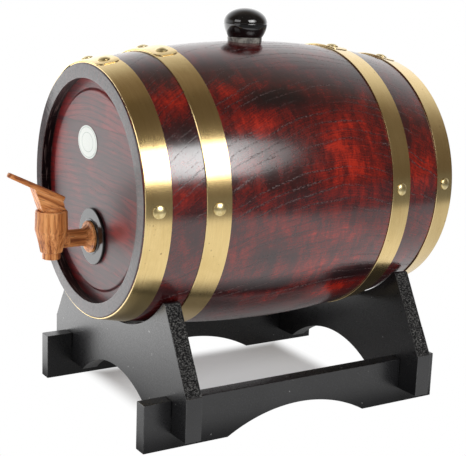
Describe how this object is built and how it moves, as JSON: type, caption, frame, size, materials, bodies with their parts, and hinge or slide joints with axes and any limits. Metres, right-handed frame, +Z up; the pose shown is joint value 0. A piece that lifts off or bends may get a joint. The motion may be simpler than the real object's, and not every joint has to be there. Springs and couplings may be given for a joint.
{
  "type": "oak wine barrel on stand",
  "caption": "Small stained oak barrel with riveted brass hoops, a wooden tap with a turning key and a black bung, lying on a slotted black wooden stand.",
  "frame": {"origin": "on the floor, under the middle of the overall box, which runs from the tip of the tap's lever to the barrel's rear end", "axes": "+Z up; the barrel lies along Y with the tapped head towards -Y; +X is to the right when the tap faces the viewer"},
  "size_m": [0.211, 0.3124, 0.2874],
  "materials": {
    "staves": "burgundy stain with dark scorching, semi-gloss varnish",
    "heads": "burgundy stain, satin varnish",
    "hoops": "brushed around the barrel",
    "rivets": "polished",
    "tap_wood": "orange-brown with dark streaks, varnished",
    "gloss_black": "gloss",
    "plug": "translucent grey",
    "label": "satin paper",
    "stand": "black satin paint"
  },
  "bodies": {
    "stand": {"left_rail": "stand", "right_rail": "stand", "front_cradle_upper_board": "stand", "front_cradle_lower_board": "stand", "rear_cradle_upper_board": "stand", "rear_cradle_lower_board": "stand"},
    "barrel": {"stave_01": "staves", "stave_02": "staves", "stave_03": "staves", "stave_04": "staves", "stave_05": "staves", "stave_06": "staves", "stave_07": "staves", "stave_08": "staves", "stave_09": "staves", "stave_10": "staves", "stave_11": "staves", "stave_12": "staves", "stave_13": "staves", "stave_14": "staves", "stave_15": "staves", "stave_16": "staves", "stave_17": "staves", "stave_18": "staves", "front_head_board_1": "heads", "front_head_board_2": "heads", "front_head_board_3": "heads", "front_head_board_4": "heads", "rear_head_board_1": "heads", "rear_head_board_2": "heads", "rear_head_board_3": "heads", "rear_head_board_4": "heads", "front_end_hoop": "hoops", "front_quarter_hoop": "hoops", "rear_quarter_hoop": "hoops", "rear_end_hoop": "hoops", "front_end_hoop_rivet_1": "rivets", "front_end_hoop_rivet_2": "rivets", "front_end_hoop_rivet_3": "rivets", "front_end_hoop_rivet_4": "rivets", "front_quarter_hoop_rivet_1": "rivets", "front_quarter_hoop_rivet_2": "rivets", "front_quarter_hoop_rivet_3": "rivets", "front_quarter_hoop_rivet_4": "rivets", "rear_quarter_hoop_rivet_1": "rivets", "rear_quarter_hoop_rivet_2": "rivets", "rear_quarter_hoop_rivet_3": "rivets", "rear_quarter_hoop_rivet_4": "rivets", "rear_end_hoop_rivet_1": "rivets", "rear_end_hoop_rivet_2": "rivets", "rear_end_hoop_rivet_3": "rivets", "rear_end_hoop_rivet_4": "rivets", "tap_washer": "gloss_black", "head_label": "label"},
    "bung": {"bung_knob": "gloss_black", "bung_plug": "plug"},
    "tap": {"tap_body": "tap_wood"},
    "tap_key": {"tap_key": "tap_wood"}
  },
  "joints": [
    {"name": "barrel_lift", "type": "slide", "parent": "stand", "child": "barrel", "axis": [0, 0, 1], "range_m": [0, 0.06]},
    {"name": "bung_pull", "type": "slide", "parent": "barrel", "child": "bung", "axis": [0, 0, 1], "range_m": [0, 0.035]},
    {"name": "tap_pull", "type": "slide", "parent": "barrel", "child": "tap", "axis": [0, -1, 0], "range_m": [0, 0.045]},
    {"name": "key_turn", "type": "hinge", "parent": "tap", "child": "tap_key", "pos_m": [0, -0.12465, 0.1293], "axis": [0, 0, 1], "range_deg": [-150, 150]}
  ]
}
